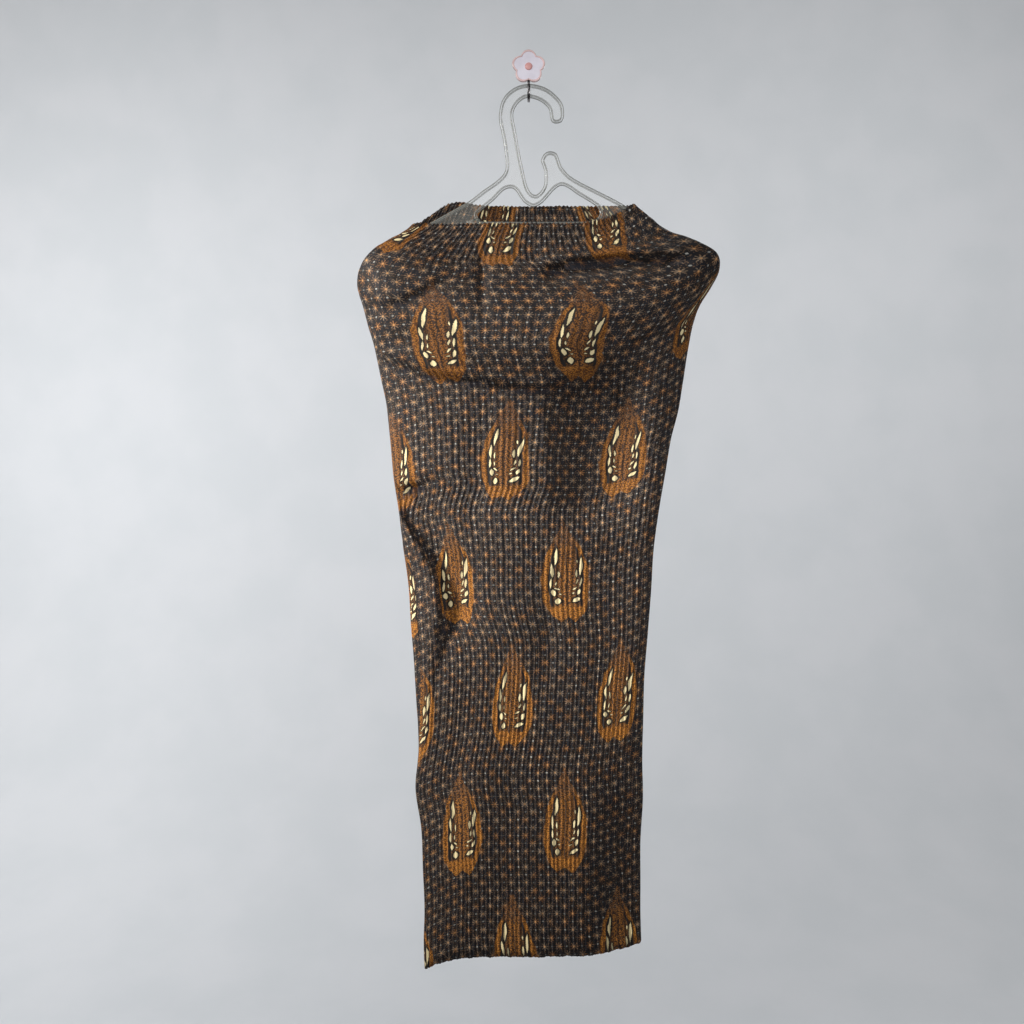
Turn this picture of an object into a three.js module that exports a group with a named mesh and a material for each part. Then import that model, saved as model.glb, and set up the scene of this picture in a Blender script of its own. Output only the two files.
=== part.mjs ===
// A pleated batik tube skirt on a flat clothes hanger, which hangs on a small wall hook.
// Millimetres, +Z up. The wall is the plane y = 0 and everything stands on its -y side; the
// origin is the middle of the hook plate's back.
import * as THREE from 'three';
import { mergeVertices } from 'three/addons/utils/BufferGeometryUtils.js';

// ---- cloth ----
const PLEATS = 56;          // on each of the two panels
const PLEAT_CLOTH = 9;      // cloth taken up by one pleat, along its zigzag
const CLOTH = 1.75;         // wall of a panel, square to the ring
const CASING = 2.2;         // wall of the elastic waistband casing: two layers and the elastic
const SEAM = 0.3;           // gap between sewn pieces
const HANG_Y = -17;         // plane the hanger and the side seams lie in
const BACK = 12;            // how far the back panel stands behind that plane

// Rings of the tube, from the waist rim to the hem. down: cloth from the rim; xl, zl and xr, zr:
// the left and right side; zf, zb: height at the middle of the front and of the back; front:
// how far the front stands before the hanger; nose: half the thickness at the sides.
const RING_COLUMNS = ['down', 'xl', 'zl', 'xr', 'zr', 'zf', 'zb', 'front', 'nose'];
const CASING_RINGS = [
  [0, -139, -200, 127, -174, -203, -173, 34, 10],
  [22, -157, -215, 144, -188, -225, -195, 36, 10],
  [44, -175, -226, 161, -202, -247, -216, 38, 10],
];
const FRONT_RINGS = [
  [44, -175, -226, 161, -202, -247, -216, 38, 10],
  [58, -186, -235, 174, -210, -257, -230, 39, 9],
  [74, -197, -245, 189, -215, -268, -245, 41, 9],
  [92, -206, -260, 208, -224, -279, -263, 43, 9],
  [112, -208, -278, 227, -236, -291, -282, 46, 9],
  [134, -202, -299, 231, -255, -307, -303, 48, 9],
  [158, -196, -322, 221, -277, -325, -326, 50, 9],
  [182, -189, -345, 208, -298, -344, -350, 50, 9],
  [206, -184, -368, 200, -321, -365, -373, 50, 9],
  [230, -179, -392, 195, -345, -386, -396, 47, 9],
  [254, -174, -415, 191, -369, -406, -419, 44, 9],
  [280, -171, -441, 187, -395, -428, -445, 40, 10],
  [310, -168, -471, 182, -425, -457, -474, 36, 10],
  [385, -159, -544, 166, -499, -527, -546, 31, 11],
  [480, -146, -638, 151, -595, -616, -638, 28, 11],
  [630, -136, -787, 140, -746, -762, -784, 27, 11],
  [730, -138, -886, 138, -848, -861, -880, 27, 11],
  [800, -130, -955, 138, -918, -930, -949, 27, 11],
  [951, -127, -1105, 137, -1071, -1080, -1094, 29, 11],
];
const BACK_STATIONS = [44, 74, 112, 158, 206, 280, 385, 480, 730, 951];

// Folds of the front as [x, z] runs. The belly of the swag hangs over its edge by SWAG_OUT; right
// of the ridge the front falls away by RIDGE_DROP. In FOLDS out is the height of a fold, negative
// where it tucks in, and half its half width.
const SWAG_EDGE = [[-200, -312], [-175, -364], [-121, -386], [-60, -395], [14, -406],
  [75, -381], [136, -342], [197, -312], [215, -290]];
const SWAG_OUT = 24;
const RIDGE = [[-700, 22], [-560, 22], [-500, 20], [-450, 17], [-404, 12], [-380, 10]];
const RIDGE_DROP = 29;
const FOLDS = [
  { run: [[8, -254], [71, -243], [148, -238], [201, -244], [220, -254]], out: 6, half: 9 },
  { run: [[8, -273], [71, -264], [148, -259], [201, -265], [220, -275]], out: -15, half: 14 },
  { run: [[-208, -297], [-163, -314], [-121, -296], [-86, -278]], out: -6, half: 13 },
  { run: [[-160, -524], [-142, -561], [-122, -600], [-100, -640], [-96, -680], [-104, -730],
    [-116, -790]], out: -13, half: 14 },
  { run: [[-60, -430], [-62, -500], [-64, -560]], out: -4, half: 24 },
];

// ---- hanger ----
const HANGER_THICK = 4;
const HANGER_EDGE = 1;      // rounding of its edges
const HANGER_OUTLINE = [
  [33, -75], [40, -73], [43, -65], [41, -51], [31, -39], [19, -31], [3, -27], [-12, -29],
  [-25, -37], [-33, -48], [-36, -61], [-36, -73], [-31, -98], [-28, -123], [-30, -135],
  [-39, -145], [-56, -157], [-73, -170], [-96, -183], [-121, -197], [-142.5, -208],
  [-163.5, -221], [-182.3, -234.6], [-193.2, -245.8], [-198.2, -256], [-198, -266],
  [-192, -274], [-184, -274], [-176, -264], [-166, -249], [-152, -237], [-133, -226],
  [-112, -217], [-90, -215], [87, -215], [114, -215], [138, -221], [159, -231], [180, -240],
  [192, -246], [200, -257], [206, -262], [213, -258], [217, -249], [214, -239.5],
  [204.5, -231.2], [191, -224], [170.5, -214], [150.5, -201], [128, -183], [112, -172],
  [87, -159], [65, -148], [50, -139], [41, -129], [38, -122], [34, -112], [26, -109],
  [19, -112], [15, -120], [17, -127], [19, -135], [19, -148], [15, -157], [9, -162],
  [3, -160], [-2, -151], [-6, -135], [-11, -111], [-16, -83], [-19, -66], [-16, -55],
  [-9, -47], [0, -43.8], [14, -48], [24, -57], [26, -67], [28, -73],
];
const HANGER_WINDOW = [
  [-43, -169], [-31, -157], [-22, -154], [-16, -157], [-10, -166], [-5, -172], [5, -177],
  [15, -173], [23, -165], [31, -156], [39, -151], [47, -153], [60, -162], [78, -173],
  [85, -179], [86, -187], [80, -193], [70, -195], [-49, -195], [-59, -193], [-63, -187],
  [-59, -182],
];

// ---- wall hook ----
const PETALS = 5;
const PLATE_RADIUS = 18.7;
const PETAL_HEIGHT = 2.2;   // petals stand this far past the mean radius
const PLATE_THICK = 5;
const CENTRE_RADIUS = 4.6;
const CENTRE_HEIGHT = 2;
const WIRE_RADIUS = 1.6;
const WIRE_PATH = [         // [y, z]: down from the plate, out under the hanger and up again
  [-2.6, -17], [-2.6, -34], [-4, -42.4], [-8, -45.4], [-13, -45.8], [-18, -45.8],
  [-22, -44], [-23.9, -39], [-24, -29.5],
];

const material = (color, roughness, metalness = 0) =>
  new THREE.MeshStandardMaterial({ color, roughness, metalness });
const BATIK = material(0x3a2a20, 0.85);
const CLEAR = material(0xe8eaea, 0.15);
const PETAL = material(0xf1dfe6, 0.3);
const PINK = material(0xe58fa6, 0.3);
const STEEL = material(0x6f6f73, 0.3, 1);

const smooth = (lo, hi, v) => {
  const t = Math.min(Math.max((v - lo) / (hi - lo), 0), 1);
  return t * t * (3 - 2 * t);
};

// Distance from a point to a run of points, and how far along the run (0 to 1) it falls.
function nearest(run, x, z) {
  let best = Infinity, along = 0;
  for (let i = 0; i + 1 < run.length; i++) {
    const [ax, az] = run[i], dx = run[i + 1][0] - ax, dz = run[i + 1][1] - az;
    const t = Math.min(Math.max(((x - ax) * dx + (z - az) * dz) / (dx * dx + dz * dz), 0), 1);
    const d = Math.hypot(x - ax - t * dx, z - az - t * dz);
    if (d < best) [best, along] = [d, (i + t) / (run.length - 1)];
  }
  return [best, along];
}

// The second value of a run where its first value is key.
function alongRun(run, key) {
  if (key <= run[0][0]) return run[0][1];
  for (let i = 0; i + 1 < run.length; i++) {
    const [a, va] = run[i], [b, vb] = run[i + 1];
    if (key <= b) return va + (vb - va) * (key - a) / (b - a);
  }
  return run[run.length - 1][1];
}

// How far the folds push the front out at a point of it.
function relief(x, z) {
  const above = z - alongRun(SWAG_EDGE, x), right = x - alongRun(RIDGE, z);
  let out = SWAG_OUT * (0.36 * smooth(-12, 12, above) + 0.64 * smooth(0, 62, above))
    * (1 - smooth(66, 170, above));
  out -= RIDGE_DROP * Math.min(Math.max(right / 58, 0), 1) * (1 - smooth(60, 135, right))
    * smooth(-590, -485, z) * (1 - smooth(-34, 6, above));
  for (const fold of FOLDS) {
    const [d, along] = nearest(fold.run, x, z);
    out += fold.out * Math.exp(-((d / fold.half) ** 2)) * Math.sin(Math.PI * (0.1 + 0.8 * along));
  }
  return out;
}

// One panel's points on a ring, evenly spaced from the left side to the right, two to a pleat
// and alternately out and in, shallower where they turn the side. Gives [outside, inside].
function pleatedRow(row, face, wall, drop = 0) {
  const r = Object.fromEntries(RING_COLUMNS.map((name, i) => [name, row[i]]));
  const mid = (r.xl + r.xr) / 2, half = (r.xr - r.xl) / 2;
  const deep = face > 0 ? r.front : BACK, centre = face > 0 ? r.zf : r.zb;
  const fine = [], length = [0];
  for (let k = 0; k <= 600; k++) {
    const u = -Math.cos(Math.PI * k / 600), s = Math.sin(Math.PI * k / 600);
    const x = mid + half * u;
    const z = centre + ((u < 0 ? r.zl : r.zr) - centre) * u ** 4 - drop;
    let out = r.nose * s ** 0.45 + (deep - r.nose) * s ** 1.4;
    if (face > 0) out = Math.max(out + relief(x, z) * Math.min(1, 2.4 * s), 0.3 * out);
    fine.push([x, HANG_Y - face * out, z]);
    if (k) length.push(length[k - 1] + Math.hypot(x - fine[k - 1][0], fine[k][1] - fine[k - 1][1]));
  }
  const count = 2 * PLEATS, total = length[600], points = [];
  for (let i = 0, k = 0; i <= count; i++) {
    const want = total * i / count;
    while (k < 599 && length[k + 1] < want) k++;
    const t = Math.min((want - length[k]) / (length[k + 1] - length[k]), 1);
    points.push(fine[k].map((v, j) => v + t * (fine[k + 1][j] - v)));
  }
  const step = total / count;
  const zig = Math.sqrt(Math.max((PLEAT_CLOTH / 2) ** 2 - step ** 2, 0.4)) / 2;
  const outside = [], inside = [];
  points.forEach(([x, y, z], i) => {
    let nx, ny;
    if (i === 0 || i === count) {
      [nx, ny] = [i ? 1 : -1, 0];
      y -= face * SEAM / 2;
    } else {
      const dx = points[i + 1][0] - points[i - 1][0], dy = points[i + 1][1] - points[i - 1][1];
      const n = Math.hypot(dx, dy);
      [nx, ny] = [face * dy / n, -face * dx / n];
    }
    const turn = Math.min(1, 0.4 + Math.min(i, count - i) / 8);
    const pleat = (i % 2 ? -zig : zig) * turn;
    outside.push([x + nx * (pleat + wall / 2), y + ny * (pleat + wall / 2), z]);
    inside.push([x + nx * (pleat - wall / 2), y + ny * (pleat - wall / 2), z]);
  });
  return [outside, inside];
}

// A closed wall between two grids of points, rows from the top down. Where it is closed it
// runs round to its first column.
function wall(name, rows, closed) {
  const lines = rows.length, columns = rows[0][0].length, spot = [], index = [];
  rows.forEach(([outside, inside]) => spot.push(...outside, ...inside));
  const at = (line, side, column) => (2 * line + side) * columns + column % columns;
  const quad = (a, b, c, d) => index.push(a, b, c, a, c, d);
  const last = closed ? columns : columns - 1;
  for (let l = 0; l + 1 < lines; l++) {
    for (let c = 0; c < last; c++) {
      quad(at(l, 0, c), at(l + 1, 0, c), at(l + 1, 0, c + 1), at(l, 0, c + 1));
      quad(at(l, 1, c), at(l, 1, c + 1), at(l + 1, 1, c + 1), at(l + 1, 1, c));
    }
    if (!closed) {
      quad(at(l, 0, 0), at(l, 1, 0), at(l + 1, 1, 0), at(l + 1, 0, 0));
      quad(at(l, 1, last), at(l, 0, last), at(l + 1, 0, last), at(l + 1, 1, last));
    }
  }
  for (let c = 0; c < last; c++) {
    quad(at(0, 0, c), at(0, 0, c + 1), at(0, 1, c + 1), at(0, 1, c));
    quad(at(lines - 1, 0, c), at(lines - 1, 1, c), at(lines - 1, 1, c + 1),
      at(lines - 1, 0, c + 1));
  }
  const geometry = new THREE.BufferGeometry();
  geometry.setAttribute('position', new THREE.Float32BufferAttribute(spot.flat(), 3));
  geometry.setIndex(index);
  return solid(name, geometry, BATIK);
}

function solid(name, geometry, look) {
  geometry.computeVertexNormals();
  const mesh = new THREE.Mesh(geometry, look);
  mesh.name = name;
  return mesh;
}

// The casing is one ring: the front row from left to right, then the back row home again.
function casingRow(row, drop) {
  const front = pleatedRow(row, 1, CASING, drop), back = pleatedRow(row, -1, CASING, drop);
  return [0, 1].map((side) => {
    const home = back[side].slice(1).reverse();
    const ring = [...front[side].slice(0, -1), ...home];
    ring[0] = [ring[0][0], HANG_Y, ring[0][2]];
    ring[2 * PLEATS] = [ring[2 * PLEATS][0], HANG_Y, ring[2 * PLEATS][2]];
    return ring;
  });
}

function waistband() {
  return wall('waistband', CASING_RINGS.map((row, i) => casingRow(row, i === 2 ? -SEAM : 0)), true);
}

function frontPanel() {
  return wall('front_panel', FRONT_RINGS.map((row) => pleatedRow(row, 1, CLOTH)), false);
}

function backPanel() {
  const rows = FRONT_RINGS.filter(([down]) => BACK_STATIONS.includes(down));
  const flipped = rows.map((row) => pleatedRow(row, -1, CLOTH).map((line) => line.reverse()));
  return wall('back_panel', flipped, false);
}

// A flat plate with rounded edges, standing in the XZ plane with its middle at y = middle.
function plate(name, outline, windows, thick, edge, middle, look) {
  const corners = (run) => run.map(([x, z]) => new THREE.Vector2(x, z));
  const shape = new THREE.Shape(corners(outline));
  shape.holes = windows.map((run) => new THREE.Path(corners(run)));
  const body = new THREE.ExtrudeGeometry(shape, {
    depth: thick - 2 * edge, bevelThickness: edge, bevelSize: edge, bevelOffset: -edge,
    bevelSegments: 1, steps: 1, curveSegments: 1,
  });
  body.deleteAttribute('normal');
  body.deleteAttribute('uv');
  body.rotateX(Math.PI / 2);
  body.translate(0, middle + thick / 2 - edge, 0);
  return solid(name, mergeVertices(body, 1e-3), look);
}

function flower() {
  const petals = [], steps = 40;
  for (let i = 0; i < steps; i++) {
    const a = 2 * Math.PI * i / steps + Math.PI / 2;
    const r = PLATE_RADIUS + PETAL_HEIGHT * Math.cos(PETALS * (a - Math.PI / 2));
    petals.push([r * Math.cos(a), r * Math.sin(a)]);
  }
  return plate('hook_plate', petals, [], PLATE_THICK, 0.8, -PLATE_THICK / 2, PETAL);
}

function flowerCentre() {
  const outline = [[0, 0], [CENTRE_RADIUS, 0], [CENTRE_RADIUS, CENTRE_HEIGHT * 0.4],
    [CENTRE_RADIUS * 0.72, CENTRE_HEIGHT * 0.85], [0, CENTRE_HEIGHT]];
  const dome = new THREE.LatheGeometry(outline.map(([r, h]) => new THREE.Vector2(r, h)), 16);
  dome.deleteAttribute('normal');
  dome.deleteAttribute('uv');
  dome.rotateX(Math.PI);
  dome.translate(0, -PLATE_THICK - SEAM, 0);
  return solid('flower_centre', withoutSlivers(mergeVertices(dome, 1e-3)), PINK);
}

function withoutSlivers(geometry) {
  const old = geometry.index.array, kept = [];
  for (let i = 0; i < old.length; i += 3) {
    const [a, b, c] = [old[i], old[i + 1], old[i + 2]];
    if (a !== b && b !== c && a !== c) kept.push(a, b, c);
  }
  geometry.setIndex(kept);
  return geometry;
}

// Round wire along a path in the plane x = 0, with flat ends.
function wire() {
  const curve = new THREE.CatmullRomCurve3(
    WIRE_PATH.map(([y, z]) => new THREE.Vector3(0, y, z)), false, 'centripetal');
  const around = 10, steps = 22, spot = [], index = [];
  for (let i = 0; i <= steps; i++) {
    const p = curve.getPoint(i / steps), t = curve.getTangent(i / steps);
    for (let j = 0; j < around; j++) {
      const a = 2 * Math.PI * j / around, c = WIRE_RADIUS * Math.cos(a);
      spot.push(WIRE_RADIUS * Math.sin(a), p.y - c * t.z, p.z + c * t.y);
    }
  }
  for (let i = 0; i < steps; i++) {
    for (let j = 0; j < around; j++) {
      const a = i * around + j, b = i * around + (j + 1) % around;
      index.push(a, b, b + around, a, b + around, a + around);
    }
  }
  for (let j = 1; j + 1 < around; j++) {
    index.push(0, j + 1, j, steps * around, steps * around + j, steps * around + j + 1);
  }
  const geometry = new THREE.BufferGeometry();
  geometry.setAttribute('position', new THREE.Float32BufferAttribute(spot, 3));
  geometry.setIndex(index);
  return solid('hook_wire', geometry, STEEL);
}

const part = new THREE.Group();
part.name = 'batik_skirt_on_hanger';
part.add(
  waistband(), frontPanel(), backPanel(),
  plate('hanger', HANGER_OUTLINE, [HANGER_WINDOW], HANGER_THICK, HANGER_EDGE, HANG_Y, CLEAR),
  flower(), flowerCentre(), wire(),
);
export default part;
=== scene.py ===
"""Looks of a pleated batik skirt that hangs on a flat clear hanger from a flower wall hook.

The cloth pieces are thin pleated shells on the form of their CAD solids. Tables are in
millimetres in the row frame; meshes are made in metres.
"""
import math

import bpy
import numpy as np
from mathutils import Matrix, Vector


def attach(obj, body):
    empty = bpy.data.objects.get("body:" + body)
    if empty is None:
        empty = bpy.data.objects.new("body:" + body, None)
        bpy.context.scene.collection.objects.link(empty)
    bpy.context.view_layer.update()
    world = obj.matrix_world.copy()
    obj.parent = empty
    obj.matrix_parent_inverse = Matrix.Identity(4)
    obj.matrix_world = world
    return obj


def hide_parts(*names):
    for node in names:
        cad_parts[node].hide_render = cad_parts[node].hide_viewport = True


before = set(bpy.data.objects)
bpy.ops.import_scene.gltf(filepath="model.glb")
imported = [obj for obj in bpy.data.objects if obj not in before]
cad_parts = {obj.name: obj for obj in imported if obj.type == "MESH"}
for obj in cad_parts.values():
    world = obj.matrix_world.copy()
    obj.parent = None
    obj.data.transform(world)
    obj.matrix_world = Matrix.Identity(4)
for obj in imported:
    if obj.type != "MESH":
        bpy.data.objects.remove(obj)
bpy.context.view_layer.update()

# ---- cloth ----
PLEATS = 56                # on each panel
PLEAT_CLOTH = 9.0          # mm of cloth in one pleat, along its zigzag
STEPS = 6                  # mesh columns to a pleat
ZIG_SHARE = 0.55           # worn pleats stand this much of their full depth
ZIG_SHARP, ZIG_ROUND = 0.6, 0.36     # a pleat's section is part zigzag, part wave
PRINT_PLEAT = 5.15         # mm of print that one closed pleat shows
LENGTH = 951.0             # mm of cloth from the waist rim to the hem
CASING = 44.0              # depth of the elastic casing
HIPS = 300.0               # mesh rows lie closer together above this depth
HEM = 14.0                 # mm above the lower edge that are cut unevenly
PANEL_THICK, CASING_THICK = 1.1, 2.2
HANG_Y = -17.0             # plane of the hanger and the side seams
BACK_OUT = 12.0            # how far the back stands behind it
BACK_PEAK, PEAK_X, PEAK_HALF = 9.0, -92.0, 26.0      # the back of the rim rises here
SEAM = 0.3                 # gap between the pieces of cloth
RING_STEPS = 600           # from one side seam to the other, over the front or over the back

# down: cloth from the rim; left and right side x, z; height at the middle of front and back;
# how far the front stands before the hanger.
RINGS = np.array([
    (0, -139, -200, 127, -174, -206, -173, 34), (22, -157, -215, 144, -188, -226, -195, 36),
    (44, -175, -226, 161, -202, -247, -216, 38), (58, -186, -235, 174, -210, -257, -230, 39),
    (74, -197, -245, 189, -215, -268, -245, 41), (92, -206, -260, 208, -224, -279, -263, 43),
    (112, -208, -278, 227, -236, -291, -282, 46), (134, -202, -299, 231, -255, -307, -303, 48),
    (158, -196, -322, 221, -277, -325, -326, 50), (182, -189, -345, 208, -298, -344, -350, 50),
    (206, -184, -368, 200, -321, -365, -373, 50), (230, -179, -392, 195, -345, -386, -396, 47),
    (254, -174, -415, 191, -369, -406, -419, 44), (280, -171, -441, 187, -395, -428, -445, 40),
    (310, -168, -471, 182, -425, -457, -474, 36), (345, -165, -505, 173, -459, -490, -508, 34),
    (385, -159, -544, 166, -499, -527, -546, 31), (430, -153, -589, 158, -544, -569, -590, 30),
    (480, -146, -638, 151, -595, -616, -638, 28), (530, -143, -688, 148, -645, -665, -687, 28),
    (580, -139, -737, 144, -696, -714, -735, 27), (630, -136, -787, 140, -746, -762, -784, 27),
    (680, -134, -837, 139, -797, -811, -832, 27), (730, -138, -886, 138, -848, -861, -880, 27),
    (780, -131, -935, 139, -898, -910, -929, 27), (830, -129, -985, 136, -949, -959, -977, 28),
    (880, -127, -1035, 136, -999, -1008, -1026, 28), (920, -128, -1075, 136, -1040, -1047, -1064, 29),
    (951, -127, -1105, 137, -1071, -1080, -1094, 29),
], float)
# down, and how far the rounded sides stand out before and behind the seams
NOSES = np.array([(0, 10), (44, 10), (58, 9), (254, 9), (310, 10), (385, 11), (951, 11)], float)
# Which pleat each print mark falls on, by depth: the cloth is gathered unevenly over the hips.
PRINT_MARKS = (-1, 11.6, 23.7, 36.2, 48.2, 60.8)
PRINT_FIT = np.array([
    (0, 1, 12.5, 23.9, 35.5, 47.2, 58.5), (50, 5.8, 15.2, 24.7, 34, 42.9, 52.5),
    (118, 4.4, 14.9, 24.3, 34, 43.3, 54.5), (177, 3.2, 13.8, 23.9, 34, 43.6, 53.6),
    (235, 2, 12.6, 23.2, 34.8, 43.8, 54.2), (329, 1.2, 11.5, 21.4, 33.8, 44.1, 55.5),
    (424, 0.5, 11.3, 21.4, 34.2, 45.2, 57), (482, -0.5, 11.8, 21.8, 35.4, 46.5, 58.5),
    (576, -1, 11.8, 21.9, 35.5, 47, 59.5), (692, -1, 12, 22.1, 36, 46.8, 59.5),
    (787, -1, 11.4, 23.1, 35.9, 48.4, 60.7), (881, -1, 11.1, 23.3, 36, 49.6, 61.5),
    (951, -1, 11.5, 24.2, 36.8, 49.8, 62.2),
], float)
# down, and how deep in the print that is: the casing is cut and turned from it
PRINT_DOWN = np.array([(0, 30), (61, 88), (112, 124), (177, 177), (951, 951)], float)
PRINT_BEYOND = 20          # pleats past the outer marks, where the print runs on evenly
BACK_PRINT = 7.6           # the back is cut from another place of the print, in pleats
INSIDE_PRINT = 6.2         # and so is the turned-in casing
FAN = 14.0                 # mm that the pleats under the waist tuck bow to the right
FAN_PLEATS = (30, 45, 49, 56)        # the pleats over which that grows and fades
FAN_DEPTH = (62, 120, 120, 250)      # and the depths
LEFT_SEAM = np.array([(0, 0), (380, 0), (430, 12), (560, 15), (620, 11), (680, 4), (740, 0),
                      (951, 0)], float)     # the left seam comes round to the front by this

# Folds of the front as runs of x, z.
SWAG_EDGE = [(-200, -312), (-175, -364), (-121, -386), (-60, -395), (14, -406), (75, -381),
             (136, -342), (197, -312), (215, -290)]
# The belly of cloth over that edge: how far it stands out, how high over the edge it is full,
# where it fades and where it is gone, each with what the left side adds.
SWAG_OUT, SWAG_FULL, SWAG_FADE, SWAG_GONE = (24, 6), (54, 34), (66, 44), (170, 30)
SWAG_STEP = 0.42           # share of it that the edge takes at once
SWAG_LEFT = (-150, -50)    # x over which the left side ends
WAIST_TUCK = [(8, -261), (23, -257), (71, -251), (108, -247), (148, -246), (178, -247), (204, -253)]
SHOULDER_TUCK = [(-208, -290), (-190, -300), (-163, -306), (-131, -292), (-104, -276), (-86, -268)]
LEFT_LAP = [(-166, -521), (-152, -556), (-133, -586), (-112, -628), (-107, -665), (-111, -712),
            (-122, -790)]
LAPS = [                   # run, side of its lip, where it fades in and out; lip, drop and half widths
    (WAIST_TUCK, 1, (0.3, 0.7), (11, 17, 22, 23)),
    (SHOULDER_TUCK, 1, (0.1, 0.7), (1, 16, 4.5, 22)),
    (LEFT_LAP, -1, (0.06, 0.55), (8, 16, 27, 33)),
]
RIDGE = [(-700, 22), (-560, 22), (-500, 20), (-450, 17), (-404, 12), (-380, 10)]     # z, x
RIDGE_DROP = 29.0          # the front falls away to the right of the ridge by this
RIDGE_FALL = 40.0          # over this width
RIDGE_RETURN = (60, 135)   # and comes back between these distances
RIDGE_FOOT = (-590, -485)  # z over which it begins
SOFT_FOLDS = [              # run, height, half width
    ([(-100, -567), (-98, -657), (-100, -767)], 4, 18),
    ([(-60, -430), (-62, -500), (-64, -560)], -4, 24),
    ([(20, -640), (22, -690), (20, -760)], -4, 14),
    ([(-56, -238), (-55, -275), (-54, -318)], -5, 7),
    ([(172, -262), (168, -330), (160, -400), (154, -500), (148, -600), (140, -700), (134, -790),
      (124, -880)], 11, 33),
    ([(112, -860), (114, -960), (116, -1040), (116, -1080)], -9, 26),
    ([(60, -880), (62, -980), (60, -1080)], 3, 22),
    ([(-60, -820), (-62, -900), (-60, -1000)], 3, 24),
    ([(-180, -244), (-176, -276), (-168, -316), (-160, -350)], 10, 34),
]


def smooth(lo, hi, v):
    """0 to 1 as v goes from lo to hi, with no corner at either end."""
    t = np.clip((v - lo) / (hi - lo), 0, 1)
    return t * t * (3 - 2 * t)


def spline(at, xs, ys):
    """Smooth curve through (xs, ys), with slopes from the neighbours."""
    xs, ys = np.asarray(xs, float), np.asarray(ys, float)
    slope = np.gradient(ys, xs)
    i = np.clip(np.searchsorted(xs, at, side="right") - 1, 0, len(xs) - 2)
    h = xs[i + 1] - xs[i]
    t = (at - xs[i]) / h
    return (ys[i] * (1 + 2 * t) * (1 - t) ** 2 + h * slope[i] * t * (1 - t) ** 2
            + ys[i + 1] * t * t * (3 - 2 * t) + h * slope[i + 1] * t * t * (t - 1))


def run_distance(run, x, z):
    """Distance to a run, which side of it (positive to the right of its way down), and how far along."""
    best = np.full(x.shape, 1e9)
    side, along = np.zeros(x.shape), np.zeros(x.shape)
    for i in range(len(run) - 1):
        (ax, az), (bx, bz) = run[i], run[i + 1]
        dx, dz = bx - ax, bz - az
        t = np.clip(((x - ax) * dx + (z - az) * dz) / (dx * dx + dz * dz), 0, 1)
        px, pz = x - ax - t * dx, z - az - t * dz
        d = np.hypot(px, pz)
        near = d < best
        best = np.where(near, d, best)
        side = np.where(near, np.sign(px * -dz + pz * dx), side)
        along = np.where(near, (i + t) / (len(run) - 1), along)
    return best, side, along


def hump(v, rise_from, rise_to, fall_from, fall_to):
    """0 to 1 and back to 0, smoothly."""
    return smooth(rise_from, rise_to, v) * (1 - smooth(fall_from, fall_to, v))


def lap(s, lip, lip_half, drop, drop_half):
    """A fold that laps over: a lip on the positive side of its line, a steep drop and a slow return."""
    return (lip * smooth(-3, 6, s) * np.exp(-(s / lip_half) ** 2)
            - drop * (1 - smooth(-7, 2, s)) * np.exp(-(s / drop_half) ** 2))


def relief(x, z):
    """How far the folds push the front out at a point of it."""
    run = np.array(SWAG_EDGE, float)
    above = z - np.interp(x, run[:, 0], run[:, 1])
    left = 1 - smooth(*SWAG_LEFT, x)
    most, full, fade, gone = (plain + more * left
                              for plain, more in (SWAG_OUT, SWAG_FULL, SWAG_FADE, SWAG_GONE))
    rise = SWAG_STEP * smooth(-6, 7, above) + (1 - SWAG_STEP) * smooth(0, full, above)
    out = most * rise * (1 - smooth(fade, gone, above))
    ridge = np.array(RIDGE, float)
    right = x - np.interp(z, ridge[:, 0], ridge[:, 1])
    fall = np.clip(right / RIDGE_FALL, 0, 1) * (1 - smooth(*RIDGE_RETURN, right))
    out -= RIDGE_DROP * fall * smooth(*RIDGE_FOOT, z) * (1 - smooth(-34, 6, above))
    for run, lip_side, (grown, fading), shape in LAPS:
        d, side, along = run_distance(run, x, z)
        out += hump(along, 0, grown, fading, 1) * lap(lip_side * d * side, *shape)
    for run, height, half in SOFT_FOLDS:
        d, _, along = run_distance(run, x, z)
        out += height * np.exp(-(d / half) ** 2) * np.sin(np.pi * (0.1 + 0.8 * along))
    return out


def ring(down):
    """The whole ring at a depth: points from the left side over the front to the right and home
    over the back, how far along each is, and the front's share of the length."""
    xl, zl, xr, zr, zf, zb, front = (spline(down, RINGS[:, 0], RINGS[:, i]) for i in range(1, 8))
    nose = np.interp(down, NOSES[:, 0], NOSES[:, 1])
    mid, half = (xl + xr) / 2, (xr - xl) / 2
    k = np.arange(RING_STEPS + 1)
    u, s = -np.cos(np.pi * k / RING_STEPS), np.sin(np.pi * k / RING_STEPS)
    x = mid + half * u
    parts = []
    for face, deep, centre in ((1, front, zf), (-1, BACK_OUT, zb)):
        z = centre + (np.where(u < 0, zl, zr) - centre) * u ** 4
        out = nose * s ** 0.45 + (deep - nose) * s ** 1.4      # a blunt side and a full middle
        if face > 0:
            folded = out + relief(x, z) * np.minimum(1, 5 * s)
            least = 0.3 * out                                  # no fold reaches the back
            out = least + np.logaddexp(0, (folded - least) / 1.5) * 1.5 * np.minimum(1, 8 * s)
        else:
            z = z + BACK_PEAK * np.exp(-((x - PEAK_X) / PEAK_HALF) ** 2) * (1 - smooth(0, 50, down))
        parts.append(np.stack([x, HANG_Y - face * out, z], 1))
    points = np.concatenate([parts[0], parts[1][-2::-1]])
    gaps = np.hypot(np.diff(points[:, 0]), np.diff(points[:, 1]))
    length = np.concatenate([[0], np.cumsum(gaps)])
    return points, length, length[RING_STEPS]


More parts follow.
